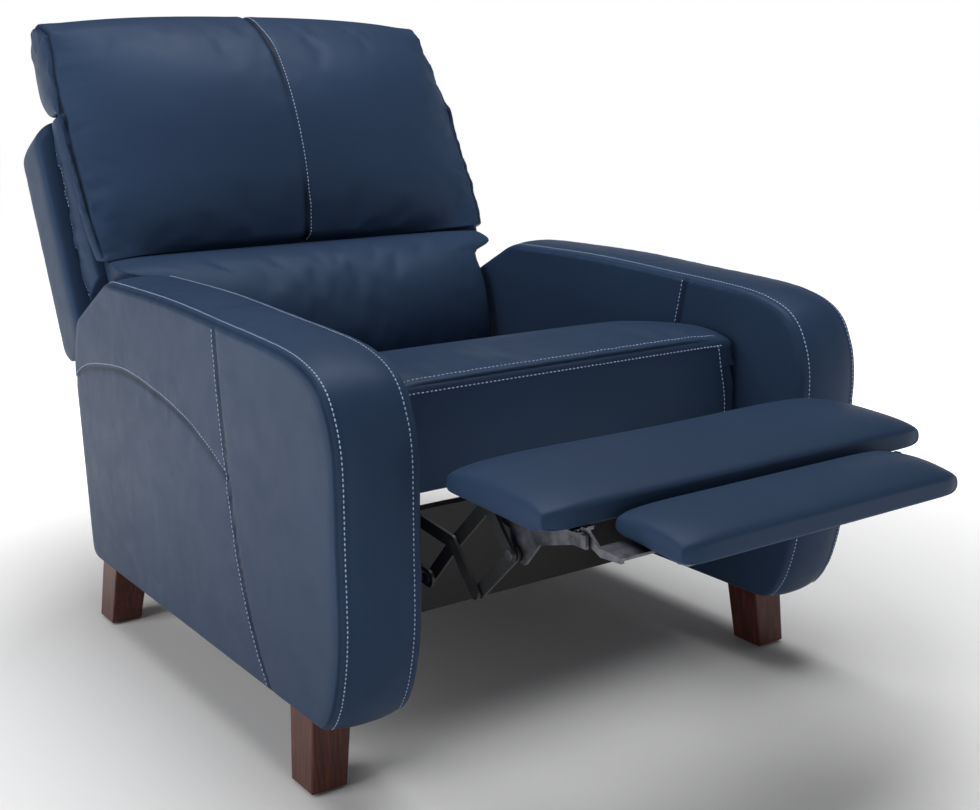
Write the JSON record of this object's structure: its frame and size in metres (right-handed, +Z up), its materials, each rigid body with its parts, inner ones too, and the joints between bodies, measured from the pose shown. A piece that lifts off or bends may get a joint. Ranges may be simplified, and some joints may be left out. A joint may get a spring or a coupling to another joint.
{
  "type": "recliner armchair",
  "caption": "Leather recliner armchair shown with the footrest out: padded arms on wooden legs, pillow back that leans, and a steel scissor linkage that folds the two-piece footrest",
  "frame": {"origin": "on the floor, under the middle of the whole chair with the footrest out", "axes": "+Z up, the chair faces -Y, +X is the sitter's left"},
  "size_m": [0.822, 1.5064, 0.9681],
  "materials": {
    "navy_leather": "semi-matt navy leather with pale stitching",
    "dark_wood_leg": "dark walnut stain, satin",
    "frame_wood": "plain hardwood and plywood, unfinished",
    "black_steel": "black paint, satin",
    "zinc_steel": "zinc plated steel",
    "spring_steel": "oiled spring steel wire",
    "black_plastic": "black moulded plastic",
    "black_board": "board covered in black lining cloth"
  },
  "bodies": {
    "base": {"arm_band_left": "navy_leather", "arm_band_right": "navy_leather", "arm_outer_panel_left": "navy_leather", "arm_outer_panel_right": "navy_leather", "arm_inner_panel_left": "navy_leather", "arm_inner_panel_right": "navy_leather", "arm_frame_left": "frame_wood", "arm_frame_right": "frame_wood", "leg_front_left": "dark_wood_leg", "leg_front_right": "dark_wood_leg", "leg_rear_left": "dark_wood_leg", "leg_rear_right": "dark_wood_leg", "leg_bolts": "zinc_steel", "floor_glides": "black_plastic", "front_cross_rail": "black_steel", "rear_cross_rail": "frame_wood", "base_side_rails": "frame_wood", "base_side_plates": "black_steel", "base_plate_screws": "zinc_steel", "glide_pins": "zinc_steel"},
    "front_glides": {"front_glide_links": "black_steel"},
    "rear_glides": {"rear_glide_links": "black_steel"},
    "seat": {"seat_plates": "black_steel", "seat_side_rails": "frame_wood", "seat_plate_bolts": "zinc_steel", "seat_front_rail": "frame_wood", "seat_rear_rail": "frame_wood", "seat_pins": "zinc_steel", "seat_springs": "spring_steel", "spring_clips": "black_plastic", "seat_cushion": "navy_leather", "seat_front_panel": "navy_leather"},
    "long_arm_pair": {"long_arms": "black_steel", "footrest_tube": "black_steel", "long_arm_rivets": "zinc_steel"},
    "cross_arm_pair": {"cross_arms": "black_steel", "cross_arm_rivets": "zinc_steel"},
    "rising_arm_pair": {"rising_arms": "black_steel", "rising_arm_rivets": "zinc_steel"},
    "front_arm_pair": {"front_arms": "black_steel"},
    "control_arm_pair": {"control_arms": "black_steel"},
    "footrest": {"footrest_brackets": "zinc_steel", "footrest_board": "black_board", "footrest_screws": "zinc_steel", "footrest_pad": "navy_leather", "front_board_pins": "zinc_steel"},
    "front_flap": {"front_board_arms": "zinc_steel", "front_board": "black_board", "front_board_screws": "zinc_steel", "front_pad": "navy_leather"},
    "back": {"back_posts": "frame_wood", "back_brackets": "black_steel", "back_bolts": "zinc_steel", "back_top_rail": "frame_wood", "back_middle_rail": "frame_wood", "back_lower_rail": "frame_wood", "back_springs": "spring_steel", "outside_back_cover": "navy_leather", "lumbar_cushion": "navy_leather", "back_pillow": "navy_leather"}
  },
  "joints": [
    {"name": "back_recline", "type": "hinge", "parent": "seat", "child": "back", "pos_m": [0, 0.303, 0.325], "axis": [-1, 0, 0], "range_deg": [-8, 20]},
    {"name": "rear_glide_swing", "type": "hinge", "parent": "base", "child": "rear_glides", "pos_m": [0, 0.255, 0.27], "axis": [-1, 0, 0], "range_deg": [-3.65, 9.05]},
    {"name": "seat_level", "type": "hinge", "parent": "rear_glides", "child": "seat", "pos_m": [0, 0.255, 0.17], "axis": [-1, 0, 0], "range_deg": [-9.05, 3.65]},
    {"name": "front_glide_swing", "type": "hinge", "parent": "base", "child": "front_glides", "pos_m": [0, 0.005, 0.27], "axis": [-1, 0, 0], "range_deg": [-3.65, 9.05]},
    {"name": "footrest_fold", "type": "hinge", "parent": "seat", "child": "long_arm_pair", "pos_m": [0, -0.235, 0.38], "axis": [1, 0, 0], "range_deg": [0, 61]},
    {"name": "cross_arm_turn", "type": "hinge", "parent": "long_arm_pair", "child": "cross_arm_pair", "pos_m": [0, -0.399, 0.331], "axis": [1, 0, 0], "range_deg": [-72.86, 0]},
    {"name": "rising_arm_turn", "type": "hinge", "parent": "long_arm_pair", "child": "rising_arm_pair", "pos_m": [0, -0.445, 0.281], "axis": [1, 0, 0], "range_deg": [-72.86, 0]},
    {"name": "front_arm_turn", "type": "hinge", "parent": "cross_arm_pair", "child": "front_arm_pair", "pos_m": [0, -0.474, 0.397], "axis": [1, 0, 0], "range_deg": [0, 72.86]},
    {"name": "control_arm_turn", "type": "hinge", "parent": "seat", "child": "control_arm_pair", "pos_m": [0, -0.1827, 0.2832], "axis": [1, 0, 0], "range_deg": [0, 69.41]},
    {"name": "footrest_turn", "type": "hinge", "parent": "rising_arm_pair", "child": "footrest", "pos_m": [0, -0.52, 0.347], "axis": [1, 0, 0], "range_deg": [0, 100.41]},
    {"name": "front_flap_turn", "type": "hinge", "parent": "footrest", "child": "front_flap", "pos_m": [0, -0.632, 0.395], "axis": [1, 0, 0], "range_deg": [0, 103.36]}
  ],
  "couplings": [
    {"joint": "rear_glide_swing", "follows": "back_recline", "ratio": 0.45},
    {"joint": "seat_level", "follows": "back_recline", "ratio": -0.45},
    {"joint": "front_glide_swing", "follows": "back_recline", "ratio": 0.45},
    {"joint": "cross_arm_turn", "follows": "footrest_fold", "ratio": -1.1935},
    {"joint": "rising_arm_turn", "follows": "footrest_fold", "ratio": -1.1935},
    {"joint": "front_arm_turn", "follows": "footrest_fold", "ratio": 1.1935},
    {"joint": "control_arm_turn", "follows": "footrest_fold", "ratio": 1.1371},
    {"joint": "footrest_turn", "follows": "footrest_fold", "ratio": 1.6452},
    {"joint": "front_flap_turn", "follows": "footrest_fold", "ratio": 1.6935}
  ]
}
